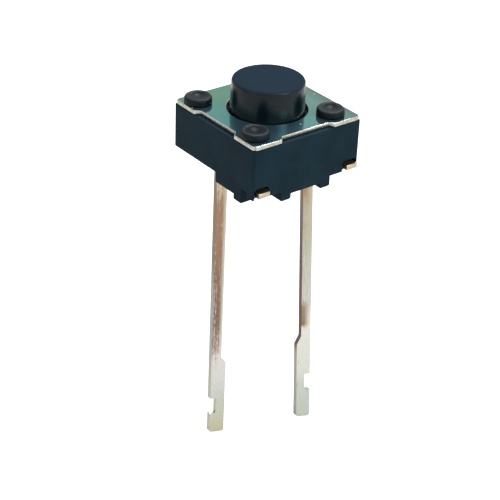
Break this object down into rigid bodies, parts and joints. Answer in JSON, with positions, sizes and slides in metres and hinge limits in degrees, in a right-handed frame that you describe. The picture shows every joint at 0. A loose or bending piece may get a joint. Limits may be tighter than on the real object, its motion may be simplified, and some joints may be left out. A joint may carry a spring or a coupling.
{
  "type": "tactile push button switch",
  "caption": "Square tactile push button switch with a round button, a staked metal cover plate and long flat leads for a circuit board.",
  "frame": {"origin": "centre of the square body, on the face of the circuit board that the feet stand on, midway between the two leads", "axes": "+Z out of the board, along the button's travel; +X from the left lead to the right lead; the front face with the cut ends of the terminals faces -Y"},
  "size_m": [0.006, 0.0062, 0.0193],
  "materials": {
    "housing": "moulded, fine satin",
    "cover_plate": "green lacquer over steel, bare cut edges",
    "button": "moulded, fine matt",
    "contact_dome": "spring steel, bright",
    "terminals": "tinned copper alloy, satin"
  },
  "bodies": {
    "switch_body": {"housing": "housing", "cover_plate": "cover_plate", "contact_dome": "contact_dome", "terminal_left": "terminals", "terminal_right": "terminals"},
    "button": {"button": "button"}
  },
  "joints": [
    {"name": "button_press", "type": "slide", "parent": "switch_body", "child": "button", "axis": [0, 0, -1], "range_m": [0, 0.00025], "stiffness_N_per_m": 6280, "deforming": ["contact_dome"]}
  ]
}
